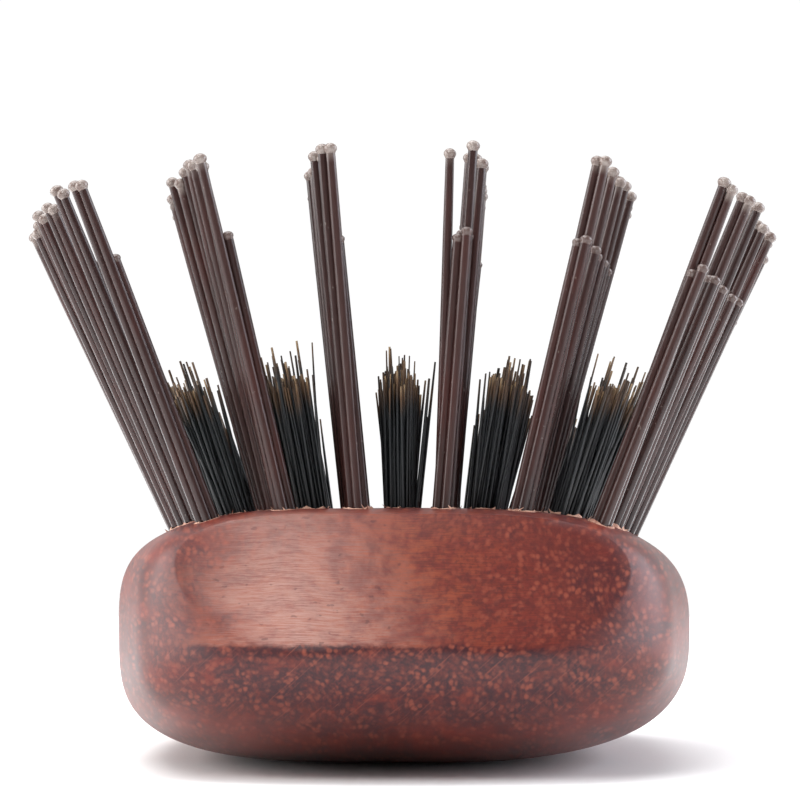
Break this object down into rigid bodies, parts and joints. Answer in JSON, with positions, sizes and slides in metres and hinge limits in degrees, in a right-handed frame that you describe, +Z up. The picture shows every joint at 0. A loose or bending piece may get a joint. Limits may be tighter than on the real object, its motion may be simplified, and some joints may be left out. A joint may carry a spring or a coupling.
{
  "type": "hair brush",
  "caption": "Wooden hair brush with a thick rounded head, fanned rows of long ball-tipped nylon tufts, short boar tufts between them, and a turned-in neck and straight handle.",
  "frame": {"origin": "centre of the underside of the bounding box, on the surface the brush lies on", "axes": "+Y along the brush from the nose of the head to the end of the handle; +Z up, the way the bristles point; +X across the head"},
  "size_m": [0.0669, 0.2128, 0.051],
  "materials": {
    "wood": "red-brown stained hardwood under a semi-gloss clear lacquer",
    "nylon": "smoky brown translucent nylon with clear ball tips",
    "boar_bristle": "natural black boar bristle with light brown tips"
  },
  "bodies": {
    "root": {"brush_body": "wood", "nylon_row_1_front": "nylon", "nylon_row_1_middle": "nylon", "nylon_row_1_rear": "nylon", "nylon_row_2_front": "nylon", "nylon_row_2_middle": "nylon", "nylon_row_2_rear": "nylon", "nylon_row_3_front": "nylon", "nylon_row_3_middle": "nylon", "nylon_row_3_rear": "nylon", "nylon_row_4_front": "nylon", "nylon_row_4_middle": "nylon", "nylon_row_4_rear": "nylon", "nylon_row_5_front": "nylon", "nylon_row_5_middle": "nylon", "nylon_row_5_rear": "nylon", "nylon_row_6_front": "nylon", "nylon_row_6_middle": "nylon", "nylon_row_6_rear": "nylon", "boar_row_1_front": "boar_bristle", "boar_row_1_middle": "boar_bristle", "boar_row_1_rear": "boar_bristle", "boar_row_2_front": "boar_bristle", "boar_row_2_middle": "boar_bristle", "boar_row_2_rear": "boar_bristle", "boar_row_3_front": "boar_bristle", "boar_row_3_middle": "boar_bristle", "boar_row_3_rear": "boar_bristle", "boar_row_4_front": "boar_bristle", "boar_row_4_middle": "boar_bristle", "boar_row_4_rear": "boar_bristle", "boar_row_5_front": "boar_bristle", "boar_row_5_middle": "boar_bristle", "boar_row_5_rear": "boar_bristle"}
  },
  "joints": []
}
